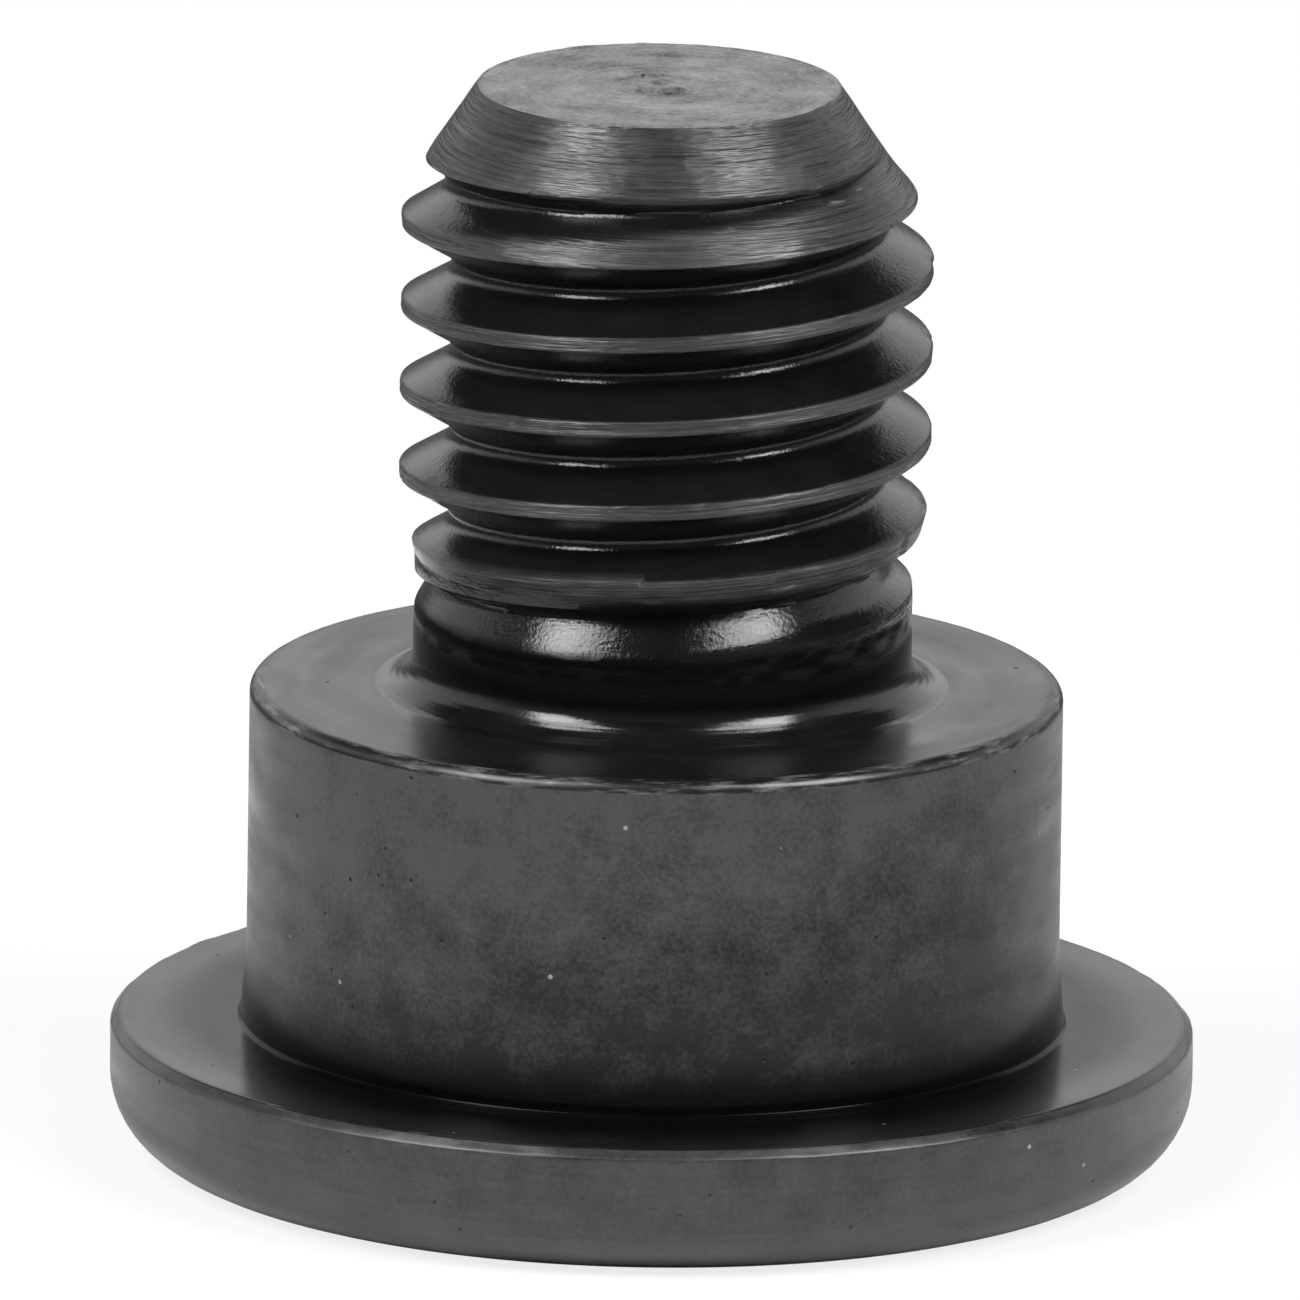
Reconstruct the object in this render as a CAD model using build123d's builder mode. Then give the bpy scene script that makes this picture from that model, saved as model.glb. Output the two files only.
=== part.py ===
"""Shoulder bolt: head, shoulder, neck and thread turned and rolled from one piece of steel.

The bolt stands on the crown of its head. The origin is the centre of the crown, +Z runs along the
axis to the thread's tip, and all sizes are in millimetres.
"""

import os
from math import ceil, cos, isclose, pi, radians, tan

from build123d import *

os.makedirs("parts", exist_ok=True)

# Head: a low flange with a rounded crown
head_diameter = 15.8
head_height = 2.0
crown_round = 1.2
head_edge_chamfer = 0.22

# Shoulder: the ground running surface, with a slight flare where it meets the head
shoulder_diameter = 11.8
shoulder_length = 5.0
shoulder_edge_round = 0.17
flare_step = 0.1
flare_length = 0.72
flange_ring = 0.13

# Neck: the plain relief between the shoulder's face and the thread
neck_step = 0.335
neck_length = 1.17
neck_fillet = 0.5

# Thread: M8 x 1.25, right-hand, 60 degree form
major_diameter = 7.87
pitch = 1.25
flank_angle = 30.0
crest_flat = 0.21
root_flat = 0.12
thread_length = 9.0
first_root_height = 0.721
full_crest_height = 2.8
crest_fade_angle = 16.7
run_out_angle = 30.0
tip_diameter = 5.4
tip_chamfer_angle = 34.0
cutter_overrun = 0.1

# Hexagon socket in the crown
socket_across_flats = 5.0
socket_depth = 3.0
socket_mouth_step = 0.15
drill_point_angle = 59.0

head_radius = head_diameter / 2
shoulder_radius = shoulder_diameter / 2
flare_radius = shoulder_radius + flare_step
major_radius = major_diameter / 2
neck_radius = major_radius - neck_step
tip_radius = tip_diameter / 2
thread_depth = (pitch - crest_flat - root_flat) / (2 * tan(radians(flank_angle)))
root_radius = major_radius - thread_depth

shoulder_face = head_height + shoulder_length
neck_top = shoulder_face + neck_length
tip_face = shoulder_face + thread_length
full_crest = shoulder_face + full_crest_height
crest_fade = full_crest - neck_step / tan(radians(crest_fade_angle))
chamfer_start = tip_face - (major_radius - tip_radius) / tan(radians(tip_chamfer_angle))

socket_corner_radius = socket_across_flats / 2 / cos(pi / 6)
mouth_radius = socket_corner_radius + socket_mouth_step


def rim(radius, height):
    """Select the round edge of this radius at this height on the part being built."""
    part = BuildPart._get_context().part
    return part.edges().filter_by(GeomType.CIRCLE).filter_by(
        lambda edge: isclose(edge.radius, radius, abs_tol=1e-4)
        and isclose(edge.arc_center.Z, height, abs_tol=1e-4)
    )


# One turn of the thread's groove: a 60 degree trapezoid swept along the root's helix, which starts
# level with the neck on +X
root_start = shoulder_face + first_root_height
turns = ceil((thread_length - first_root_height) / pitch + 0.5)
mouth_half = (pitch - crest_flat) / 2 + cutter_overrun * tan(radians(flank_angle))
with BuildPart() as groove_turn:
    with BuildLine():
        root_helix = Helix(pitch=pitch, height=pitch, radius=root_radius, center=(0, 0, root_start))
    with BuildSketch(Plane.XZ):
        with BuildLine():
            Polyline(
                (root_radius, root_start - root_flat / 2),
                (major_radius + cutter_overrun, root_start - mouth_half),
                (major_radius + cutter_overrun, root_start + mouth_half),
                (root_radius, root_start + root_flat / 2),
                close=True,
            )
        make_face()
    sweep(path=root_helix, is_frenet=True)

# The cone that the groove climbs as it leaves the bolt between the last crest and the neck
run_out_slope = tan(radians(run_out_angle))
cone_top = neck_top + (neck_radius - root_radius + cutter_overrun) / run_out_slope
cone_bottom = shoulder_face - pitch
with BuildPart() as run_out:
    with Locations((0, 0, cone_bottom)):
        Cone(
            bottom_radius=neck_radius + (neck_top - cone_bottom) * run_out_slope,
            top_radius=neck_radius - (cone_top - neck_top) * run_out_slope,
            height=cone_top - cone_bottom,
            align=(Align.CENTER, Align.CENTER, Align.MIN),
        )

with BuildPart() as shoulder_bolt:
    # The turned blank, as one half-section
    with BuildSketch(Plane.XZ):
        with BuildLine():
            Polyline(
                (0, 0),
                (head_radius, 0),
                (head_radius, head_height),
                (flare_radius, head_height),
                (shoulder_radius, head_height + flare_length),
                (shoulder_radius, shoulder_face),
                (neck_radius, shoulder_face),
                (neck_radius, crest_fade),
                (major_radius, full_crest),
                (major_radius, chamfer_start),
                (tip_radius, tip_face),
                (0, tip_face),
                close=True,
            )
        make_face()
    revolve(axis=Axis.Z)
    fillet(rim(head_radius, 0), crown_round)
    chamfer(rim(head_radius, head_height), head_edge_chamfer)
    chamfer(rim(flare_radius, head_height), flange_ring)
    fillet(rim(shoulder_radius, shoulder_face), shoulder_edge_round)
    fillet(rim(neck_radius, shoulder_face), neck_fillet)

    # The rolled thread, cut one turn of groove after another
    for turn in range(turns):
        with BuildPart(mode=Mode.SUBTRACT):
            with Locations((0, 0, turn * pitch)):
                add(groove_turn.part)
            add(run_out.part, mode=Mode.SUBTRACT)

    # The socket: a chamfered mouth, the hexagon and the point left by its drill
    with BuildSketch():
        RegularPolygon(radius=socket_across_flats / 2, side_count=6, major_radius=False)
    extrude(amount=socket_depth, mode=Mode.SUBTRACT)
    Cone(
        bottom_radius=mouth_radius,
        top_radius=0,
        height=mouth_radius,
        align=(Align.CENTER, Align.CENTER, Align.MIN),
        mode=Mode.SUBTRACT,
    )
    with Locations((0, 0, socket_depth)):
        Cone(
            bottom_radius=socket_across_flats / 2,
            top_radius=0,
            height=socket_across_flats / 2 / tan(radians(drill_point_angle)),
            align=(Align.CENTER, Align.CENTER, Align.MIN),
            mode=Mode.SUBTRACT,
        )

shoulder_bolt.part.label = "shoulder_bolt"
export_step(shoulder_bolt.part, "parts/shoulder_bolt.step")
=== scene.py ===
"""Dresses the shoulder bolt: its worked surface with the rolled thread, its black oxide finish and the studio.

Sizes are written in millimetres and turned into metres where a mesh, lamp or camera is made. The origin is the
centre of the head's crown, +Z runs to the thread's tip, and the camera looks along +Y.
"""

import logging
import math
from dataclasses import dataclass, field
from enum import Enum
from typing import Dict, List, Optional, Sequence, Tuple

import bpy
import numpy as np
from mathutils import Matrix, Vector


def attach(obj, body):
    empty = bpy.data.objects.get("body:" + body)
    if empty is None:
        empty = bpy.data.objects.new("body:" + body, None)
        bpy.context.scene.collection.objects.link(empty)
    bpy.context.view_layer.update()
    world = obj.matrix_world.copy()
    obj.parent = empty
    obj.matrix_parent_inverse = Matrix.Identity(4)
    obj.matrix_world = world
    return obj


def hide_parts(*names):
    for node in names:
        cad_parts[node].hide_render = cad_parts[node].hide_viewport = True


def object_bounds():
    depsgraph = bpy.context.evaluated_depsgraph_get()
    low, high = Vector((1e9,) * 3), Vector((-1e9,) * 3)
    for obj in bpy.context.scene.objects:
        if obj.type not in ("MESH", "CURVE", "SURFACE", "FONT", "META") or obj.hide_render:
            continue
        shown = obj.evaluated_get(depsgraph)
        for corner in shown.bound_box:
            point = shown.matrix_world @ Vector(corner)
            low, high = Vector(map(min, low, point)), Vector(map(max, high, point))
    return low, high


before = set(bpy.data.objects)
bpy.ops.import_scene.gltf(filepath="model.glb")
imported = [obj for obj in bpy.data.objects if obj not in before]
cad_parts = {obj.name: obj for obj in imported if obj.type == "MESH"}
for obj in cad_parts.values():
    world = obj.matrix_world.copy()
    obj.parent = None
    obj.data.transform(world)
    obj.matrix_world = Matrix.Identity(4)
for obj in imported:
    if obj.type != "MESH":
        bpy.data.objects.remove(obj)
cad_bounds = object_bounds()

log = logging.getLogger("shoulder_bolt")

MM = 0.001
TAU = 2.0 * math.pi
COLUMNS = 264
NODE = "shoulder_bolt"

Colour = Tuple[float, float, float]


class Face(Enum):
    """The worked faces of the bolt, each with a finish of its own."""

    SOCKET = 0
    CROWN = 1
    HEAD_SIDE = 2
    SEAT = 3
    SHOULDER = 4
    SHOULDER_FACE = 5
    NECK = 6
    THREAD = 7
    TIP_FACE = 8


class Wander:
    """Smooth seeded randomness over the bolt's surface, which joins up with itself round the axis."""

    ROWS = 97

    def __init__(self, seed: int) -> None:
        """Keep the seed's own generator."""
        self._random = np.random.default_rng(seed)

    def field(self, turn: np.ndarray, along: np.ndarray, cells_round: int, cells_per_mm: float) -> np.ndarray:
        """Value noise: random numbers on a lattice, blended between lattice points by 3t^2 - 2t^3 each way.

        Args:
            turn: place round the axis, in turns.
            along: place along the profile or the axis, in millimetres.
            cells_round: lattice cells in a full turn.
            cells_per_mm: lattice cells in a millimetre along.

        Returns:
            Values from -1 to 1, in the shape of the inputs.
        """
        lattice = self._random.uniform(-1.0, 1.0, (cells_round, self.ROWS))
        a = np.mod(turn, 1.0) * cells_round
        b = along * cells_per_mm
        a0, b0 = np.floor(a).astype(int), np.floor(b).astype(int)
        fa, fb = a - a0, b - b0
        fa, fb = fa * fa * (3 - 2 * fa), fb * fb * (3 - 2 * fb)
        a1, b1 = (a0 + 1) % cells_round, (b0 + 1) % self.ROWS
        a0, b0 = a0 % cells_round, b0 % self.ROWS
        low = lattice[a0, b0] * (1 - fa) + lattice[a1, b0] * fa
        high = lattice[a0, b1] * (1 - fa) + lattice[a1, b1] * fa
        return low * (1 - fb) + high * fb


def smooth_step(value: np.ndarray, low: float, high: float) -> np.ndarray:
    """Rise from 0 at low to 1 at high along 3t^2 - 2t^3."""
    t = np.clip((value - low) / (high - low), 0.0, 1.0)
    return t * t * (3 - 2 * t)


@dataclass
class Rings:
    """Rings of points round the axis, in order from the socket's bottom to the middle of the tip."""

    radius: List[np.ndarray] = field(default_factory=list)
    height: List[np.ndarray] = field(default_factory=list)
    edge: List[np.ndarray] = field(default_factory=list)
    face: List[np.ndarray] = field(default_factory=list)
    outer: List[np.ndarray] = field(default_factory=list)
    corner: List[np.ndarray] = field(default_factory=list)
    place: List[np.ndarray] = field(default_factory=list)
    meets: List[np.ndarray] = field(default_factory=list)

    def add(
        self,
        radius: np.ndarray,
        height: np.ndarray,
        edge: np.ndarray,
        face: np.ndarray,
        place: np.ndarray,
        climb: int = 0,
        outer: Optional[np.ndarray] = None,
        corner: Optional[np.ndarray] = None,
    ) -> None:
        """Append rings given as arrays of rings by columns.

        Args:
            radius: distance from the axis.
            height: height above the crown.
            edge: 1 on a corner of the form and 0 away from it.
            face: the Face value of the band above each ring.
            place: where each ring lies along the surface, in millimetres.
            climb: how many rings higher a ring ends than it starts, 0 where it closes on itself.
            outer: 1 on the thread's crest and cone, 0 in its groove and elsewhere.
            corner: 1 where shade is painted into the inner corners, 0 elsewhere.
        """
        first = sum(len(part) for part in self.radius)
        own = np.arange(len(radius))
        self.radius.append(radius)
        self.height.append(height)
        self.edge.append(edge)
        self.face.append(face)
        self.place.append(place)
        self.outer.append(np.zeros_like(radius) if outer is None else outer)
        self.corner.append(np.zeros_like(radius) if corner is None else corner)
        self.meets.append(first + np.minimum(own + climb, len(radius) - 1))

    def join(self, other: "Rings") -> None:
        """Append another stack of rings on top."""
        first = sum(len(part) for part in self.radius)
        for name in ("radius", "height", "edge", "face", "outer", "corner", "place"):
            getattr(self, name).extend(getattr(other, name))
        self.meets.extend(part + first for part in other.meets)

    def stacked(self) -> Dict[str, np.ndarray]:
        """Return each kind of value as one array."""
        return {name: np.concatenate(part) for name, part in vars(self).items()}


@dataclass(frozen=True)
class Corner:
    """One corner of a turned profile: where it is, how round and how worn it is, and what the face after it is."""

    radius: float
    height: float
    round: float
    face: Face
    steps: int = 4
    rings_after: int = 1
    worn: float = 0.0


def rounded_profile(corners: Sequence[Corner]) -> Tuple[np.ndarray, np.ndarray, np.ndarray, np.ndarray]:
    """Join corners by straight runs and round each inner corner by an arc that touches both of its runs.

    The arc of radius q at a corner that turns by the angle t starts and ends q * tan(t / 2) from the corner. Each run
    gets plain rings between its arcs, with one close to each arc to hold the shading flat.

    Args:
        corners: the corners in order. The first and last are kept sharp.

    Returns:
        Radius, height, edge and face value of each ring.
    """
    points = np.array([(c.radius, c.height) for c in corners])
    out: List[Tuple[np.ndarray, np.ndarray, int]] = []
    end = points[0]
    for k in range(1, len(corners)):
        last = k == len(corners) - 1
        before = points[k] - points[k - 1]
        before = before / np.linalg.norm(before)
        if last:
            start, arc = points[k], points[k][None, :]
        else:
            after = points[k + 1] - points[k]
            after = after / np.linalg.norm(after)
            turn = math.acos(float(np.clip(before @ after, -1.0, 1.0)))
            reach = corners[k].round * math.tan(turn / 2)
            start, finish = points[k] - before * reach, points[k] + after * reach
            side = np.sign(before[0] * after[1] - before[1] * after[0])
            centre = start + corners[k].round * side * np.array([-before[1], before[0]])
            angle = np.linspace(0.0, turn, corners[k].steps + 1)[:, None] * side
            spoke = start - centre
            arc = centre + np.cos(angle) * spoke + np.sin(angle) * np.array([-spoke[1], spoke[0]])
            arc[-1] = finish
        length = np.linalg.norm(start - end)
        guard = min(0.06, length * 0.25)
        share = np.linspace(0.0, 1.0, corners[k - 1].rings_after + 2)[1:-1]
        inset = guard / length
        stops = np.concatenate(([inset], inset + share * (1 - 2 * inset), [1 - inset]))
        run = end + stops[:, None] * (start - end)
        out.append((run, np.zeros(len(run)), corners[k - 1].face.value))
        weight = np.full(len(arc), corners[k].worn)
        out.append((arc, weight, corners[k].face.value))
        end = arc[-1]
    first = (points[:1], np.zeros(1), corners[0].face.value)
    rows = np.concatenate([first[0]] + [part[0] for part in out])
    edge = np.concatenate([first[1]] + [part[1] for part in out])
    face = np.concatenate([[first[2]]] + [np.full(len(part[0]), part[2]) for part in out])
    return rows[:, 0], rows[:, 1], edge, face


@dataclass
class ThreadForm:
    """The rolled right-hand thread, given as a radius at every turn and height."""

    shoulder_face: float = 7.0
    tip_face: float = 15.945
    major_radius: float = 3.875
    pitch: float = 1.25
    flank_slope: float = math.tan(math.radians(60.0))
    crest_flat: float = 0.2
    crest_blend: float = 0.06
    root_flat: float = 0.12
    root_round: float = 0.18
    first_root: float = 7.69
    neck_radius: float = 3.63
    neck_top: float = 8.17
    run_out_slope: float = math.tan(math.radians(30.0))
    full_crest: float = 9.8
    fade_slope: float = math.tan(math.radians(16.7))
    tip_radius: float = 2.65
    tip_slope: float = 0.667
    crease_depth: float = 0.02
    crease_width: float = 0.04
    crease_top: Tuple[float, float] = (14.0, 14.4)
    nick_depth: float = 0.03
    nick_foot: Tuple[float, float] = (8.9, 9.4)
    ripple: float = 0.006
    edge_round: float = 0.045
    lead_in: float = 14.6
    lead_in_depth: float = 0.77
    lead_in_slope: float = 0.38
    lean: float = 0.076
    tip_lean: float = -0.08

    @property
    def cone_foot(self) -> float:
        """Height at which the crest meets the tip's cone."""
        return self.tip_face - (self.major_radius - self.tip_radius) / self.tip_slope

    def root_offset(self, turn: np.ndarray, height: np.ndarray) -> np.ndarray:
        """Height above the nearest root, which climbs by one pitch a turn: from minus to plus half a pitch."""
        rise = height - self.first_root - self.pitch * turn
        return np.mod(rise + self.pitch / 2, self.pitch) - self.pitch / 2

    def groove(self, offset: np.ndarray) -> np.ndarray:
        """Radius in the groove: two straight flanks from a point, rounded at the root by an arc that touches both.

        The flanks meet at the apex, and an arc of radius q whose centre lies 2q above the apex touches them where the
        offset is q * cos(30 degrees).

        Args:
            offset: height above the nearest root.

        Returns:
            Radii, growing without end past the crest.
        """
        reach = np.abs(offset)
        root_radius = self.major_radius - (self.pitch - self.crest_flat - self.root_flat) / 2 * self.flank_slope
        apex = root_radius - self.root_flat / 2 * self.flank_slope
        flank = apex + reach * self.flank_slope
        touch = self.root_round * math.cos(math.radians(30.0))
        arc = apex + 2 * self.root_round - np.sqrt(np.maximum(self.root_round**2 - reach**2, 0.0))
        return np.where(reach < touch, arc, flank)

    def envelope(self, height: np.ndarray) -> np.ndarray:
        """Radius of the blank: the neck, a cone to the full crest, the crest and the tip's chamfer.

        The cone passes into the crest by a smooth least value, (a + b - sqrt((a - b)^2 + crest_blend^2)) / 2.
        """
        fade = self.major_radius - (self.full_crest - height) * self.fade_slope
        chamfer = self.tip_radius + (self.tip_face - height) * self.tip_slope
        over = fade - self.major_radius
        crest = self.major_radius + (over - np.sqrt(over**2 + self.crest_blend**2)) / 2
        return np.minimum(np.maximum(crest, self.neck_radius), chamfer)

    def run_out(self, height: np.ndarray) -> np.ndarray:
        """Radius on which the groove climbs out: a cone above the neck, and a slow rise near the tip."""
        lead = self.major_radius - self.lead_in_depth + np.maximum(height - self.lead_in, 0.0) * self.lead_in_slope
        climb = self.neck_radius - (height - self.neck_top) * self.run_out_slope
        return np.where(height > self.lead_in, lead, climb)

    def gap(self, turn: np.ndarray, height: np.ndarray) -> np.ndarray:
        """How far the blank stands over the groove: above 0 in the groove and below 0 on the blank's own surface."""
        floor = np.maximum(self.groove(self.root_offset(turn, height)), self.run_out(height))
        return self.envelope(height) - floor

    def surface(self, turn: np.ndarray, height: np.ndarray, wander: Wander) -> Tuple[np.ndarray, np.ndarray]:
        """Radius of the finished thread: the lower of blank and groove, blended over a small edge, less its wear.

        The blend lowers both by edge_round / 4 where they meet and fades to nothing edge_round away. A crease runs
        along the middle of the crest where the rolled metal met, and nicks lower the crest here and there.

        Args:
            turn: place round the axis, in turns.
            height: height above the crown.
            wander: the source of the wear's randomness.

        Returns:
            Radii, and edge weights that are 1 on the crest's corners.
        """
        offset = self.root_offset(turn, height)
        blank = self.envelope(height)
        from_crest = self.pitch / 2 - np.abs(offset)
        crease = np.exp(-((from_crest / self.crease_width) ** 2))
        wound = np.floor((height - self.first_root) / self.pitch - turn) + turn
        along = wander.field(wound / 12, offset * 0, 12 * 23, 1.0)
        full = smooth_step(height, self.full_crest - 0.5, self.full_crest + 0.1)
        full = full * (1 - smooth_step(height, *self.crease_top))
        blank = blank - self.crease_depth * full * crease * smooth_step(along, -0.5, 0.6)
        nick = wander.field(turn, height, 97, 4.6) * wander.field(turn, height, 31, 1.3)
        cone_foot = self.cone_foot
        on_crest = smooth_step(height, *self.nick_foot) * (1 - smooth_step(height, cone_foot - 0.1, cone_foot + 0.2))
        blank = blank - self.nick_depth * on_crest * smooth_step(nick, 0.25, 0.6)
        blank = blank - self.ripple + self.ripple * wander.field(turn, height, 113, 7.0)
        floor = np.maximum(self.groove(offset), self.run_out(height))
        gap = blank - floor
        blend = np.maximum(self.edge_round - np.abs(gap), 0.0) / self.edge_round
        radius = np.minimum(blank, floor) - blend**2 * self.edge_round / 4
        return radius, smooth_step(blend, 0.0, 0.8)


@dataclass
class BoltSurface:
    """The bolt's whole skin as one closed grid of rings and columns."""

    thread: ThreadForm = field(default_factory=ThreadForm)
    head_radius: float = 7.888
    head_height: float = 2.0
    crown_round: float = 1.2
    head_edge: float = 0.13
    shoulder_radius: float = 5.92
    flare_radius: float = 5.99
    flare_height: float = 2.95
    neck_round: float = 0.54
    shoulder_round: float = 0.17
    socket_flats: float = 5.0
    socket_depth: float = 3.0
    socket_point: float = 59.0
    mouth_step: float = 0.15
    grid_start: float = 7.85
    # Where painted shade lies: up the neck, down the shoulder's foot and across the seat next to the shoulder.
    painted_shade_neck_foot: Tuple[float, float] = (7.3, 7.55)
    painted_shade_neck_top: Tuple[float, float] = (8.2, 8.35)
    painted_shade_wall_top: Tuple[float, float] = (2.15, 2.95)
    painted_shade_seat_rim: Tuple[float, float] = (6.5, 7.6)
    head_nicks: float = 0.014
    shoulder_nicks: float = 0.003
    fillet_ripple: float = 0.004
    fillet_ripple_length: float = 0.115
    facing_spacing: float = 0.21
    facing_depth: float = 0.0035
    tip_ripple: float = 0.006
    pip_height: float = 0.045
    gouge_depth: float = 0.02
    burr_height: float = 0.012
    cone_faces_from: float = 14.1
    cone_place_scale: float = 1.2

    def __post_init__(self) -> None:
        """Lay out the columns and the source of randomness."""
        self.turn = np.arange(COLUMNS) / COLUMNS
        self.wander = Wander(11)

    def socket_rings(self) -> Rings:
        """The drive socket: the drill's point, the floor's edge, the six walls and the mouth's chamfer.

        A wall's radius at a turn is half the flats over the cosine of the angle to its middle.

        Returns:
            Rings from the point out to the mouth.
        """
        angle = TAU * self.turn
        wall = self.socket_flats / 2 / np.cos(np.mod(angle, math.pi / 3) - math.pi / 6)
        mouth = self.socket_flats / 2 / math.cos(math.pi / 6) + self.mouth_step
        ones = np.ones(COLUMNS)
        point = np.array([0.02, 0.5, 1.0, 1.5, 2.0, 2.4, 2.499])
        slope = 1.0 / math.tan(math.radians(self.socket_point))
        radius = [r * ones for r in point] + [wall - 0.05, wall, wall, wall, wall, wall, mouth * ones - 0.03]
        height = [(self.socket_depth + (self.socket_flats / 2 - r) * slope) * ones for r in point]
        top = mouth - wall
        height += [self.socket_depth * ones, self.socket_depth * ones, (self.socket_depth - 0.05) * ones]
        height += [top + (self.socket_depth - top) * share for share in (0.66, 0.33)]
        height += [top, 0.03 * ones]
        rings = Rings()
        radius_grid, height_grid = np.array(radius), np.array(height)
        edge = np.zeros_like(radius_grid)
        edge[-2] = 1.0
        face = np.full(radius_grid.shape, Face.SOCKET.value)
        rings.add(radius_grid, height_grid, edge, face, self._arc_length(radius_grid, height_grid))
        return rings

    @staticmethod
    def _arc_length(radius: np.ndarray, height: np.ndarray) -> np.ndarray:
        """Length along the profile from the first ring to each ring, on the first column, in millimetres."""
        step = np.hypot(np.diff(radius[:, 0]), np.diff(height[:, 0]))
        return np.concatenate(([0.0], np.cumsum(step)))

    def body_rings(self) -> Rings:
        """The turned body from the socket's mouth over the crown, head, seat, shoulder and its face to the neck.

        Returns:
            Rings of the body, worn at the edges.
        """
        t = self.thread
        mouth = self.socket_flats / 2 / math.cos(math.pi / 6) + self.mouth_step
        edge = self.head_edge
        corners = [
            Corner(mouth, 0.0, 0.0, Face.CROWN, rings_after=4),
            Corner(self.head_radius, 0.0, self.crown_round, Face.HEAD_SIDE, steps=12, rings_after=3),
            Corner(self.head_radius, self.head_height - edge, 0.06, Face.HEAD_SIDE, steps=3, worn=0.5),
            Corner(self.head_radius - edge, self.head_height, 0.05, Face.SEAT, steps=3, rings_after=6, worn=1.0),
            Corner(self.flare_radius + 0.05, self.head_height, 0.02, Face.SHOULDER, steps=2, rings_after=0),
            Corner(self.flare_radius, self.head_height + 0.05, 0.02, Face.SHOULDER, steps=2, rings_after=0),
            Corner(self.flare_radius, self.head_height + 0.165, 0.6, Face.SHOULDER, steps=3, rings_after=3),
            Corner(self.shoulder_radius, self.flare_height, 9.0, Face.SHOULDER, steps=7, rings_after=4),
            Corner(self.shoulder_radius, t.shoulder_face, self.shoulder_round, Face.SHOULDER_FACE, 7, 7, 1.0),
            Corner(t.neck_radius, t.shoulder_face, self.neck_round, Face.NECK, steps=24, rings_after=1),
            Corner(t.neck_radius, self.grid_start, 0.0, Face.NECK),
        ]
        radius, height, weight, face = rounded_profile(corners)
        shape = (len(radius), COLUMNS)
        grids = (np.broadcast_to(values[:, None], shape).copy() for values in (radius, height, weight, face))
        radius_grid, height_grid, weight_grid, face_grid = grids
        self._wear_edges(radius_grid, height_grid)
        rings = Rings()
        # Painted shade: the share that lays the near-black corner finish on the shoulder's foot, the seat beside the
        # shoulder and the neck's fillet.
        wall = (1 - smooth_step(height_grid, *self.painted_shade_wall_top)) * (radius_grid < 6.2)
        seat = (1 - 0.8 * smooth_step(radius_grid, *self.painted_shade_seat_rim)) * (height_grid < self.head_height + 0.04)
        neck = smooth_step(height_grid, *self.painted_shade_neck_foot)
        foot = np.where(radius_grid > 5.8, np.maximum(wall, seat), 0.0)
        corner = np.where(height_grid > t.shoulder_face + 0.1, neck, foot)
        corner = np.where(height_grid < self.head_height - 0.3, 0.0, corner)
        length = self._arc_length(radius_grid, height_grid)
        rings.add(radius_grid, height_grid, weight_grid, face_grid, length, corner=corner)
        return rings

    def _wear_edges(self, radius: np.ndarray, height: np.ndarray) -> None:
        """Rough the outer edges by up to about a hundredth of a millimetre and ripple the neck's fillet, in place.

        The ripple is a sine along the fillet's arc, which dies out at both of the arc's ends.

        Args:
            radius: ring radii.
            height: ring heights.
        """
        turn = np.broadcast_to(self.turn, radius.shape)
        rough = self.wander.field(turn, height + radius, 90, 3.0) + 0.6 * self.wander.field(turn, height, 190, 6.0)
        inward, below = radius - self.head_radius + 0.1, height - self.head_height + 0.1
        head_edge = np.exp(-((inward / 0.16) ** 2 + (below / 0.14) ** 2))
        inward, below = radius - self.shoulder_radius + 0.08, height - self.thread.shoulder_face
        shoulder_edge = np.exp(-((inward / 0.12) ** 2 + (below / 0.12) ** 2))
        place = math.pi / 2 * self.neck_round
        off_axis = self.thread.neck_radius + self.neck_round - radius
        off_face = self.thread.shoulder_face + self.neck_round - height
        in_fillet = (off_axis > 0) & (off_face > 0) & (height > self.thread.shoulder_face - 0.01)
        sweep = np.where(in_fillet, np.arctan2(off_face, off_axis) / (math.pi / 2) * place, 0.0)
        ripple = np.sin(TAU * sweep / self.fillet_ripple_length + 0.8 * self.wander.field(turn, height, 7, 2.0))
        height += self.fillet_ripple * ripple * in_fillet * np.sin(sweep / place * math.pi)
        amount = self.head_nicks * head_edge + self.shoulder_nicks * shoulder_edge
        radius += amount * rough
        height += amount * 0.6 * rough

    def thread_rings(self) -> Rings:
        """The threaded end, on rings that climb with the helix so that crest and root lie along them.

        A ring's height at a turn is its place in the pitch plus one pitch a turn, held between the grid's start and
        the tip. Where a step between rings crosses a corner of the form, the nearer ring is moved onto the corner.

        Returns:
            Rings of the thread.
        """
        t = self.thread
        half = t.pitch / 2
        touch = t.root_round * math.cos(math.radians(30.0))
        crest = half - t.crest_flat / 2
        side = np.concatenate(
            (
                np.linspace(0.0, touch, 5)[1:],
                np.linspace(touch, crest - 0.03, 5)[1:],
                [crest - 0.01, crest + 0.004, crest + 0.02, crest + 0.045, half - 0.02],
            )
        )
        cycle = np.concatenate((-side[::-1], [0.0], side, [half]))
        low = math.floor((self.grid_start - t.first_root) / t.pitch) - 2
        high = math.ceil((t.tip_face - t.first_root) / t.pitch) + 1
        level = (t.first_root + np.arange(low, high + 1)[:, None] * t.pitch + cycle[None, :]).ravel()
        turn = np.broadcast_to(self.turn, (len(level), COLUMNS))
        height = np.clip(level[:, None] + t.pitch * turn, self.grid_start, t.tip_face)
        height[np.abs(height - t.cone_foot).argmin(axis=0), np.arange(COLUMNS)] = t.cone_foot
        height = self._snap(height, turn)
        radius, edge = t.surface(turn, height, self.wander)
        proud = smooth_step(t.envelope(height) - t.neck_radius, 0.02, 0.1)
        reach = 0.03 + 0.09 * smooth_step(height, *t.crease_top)
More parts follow.
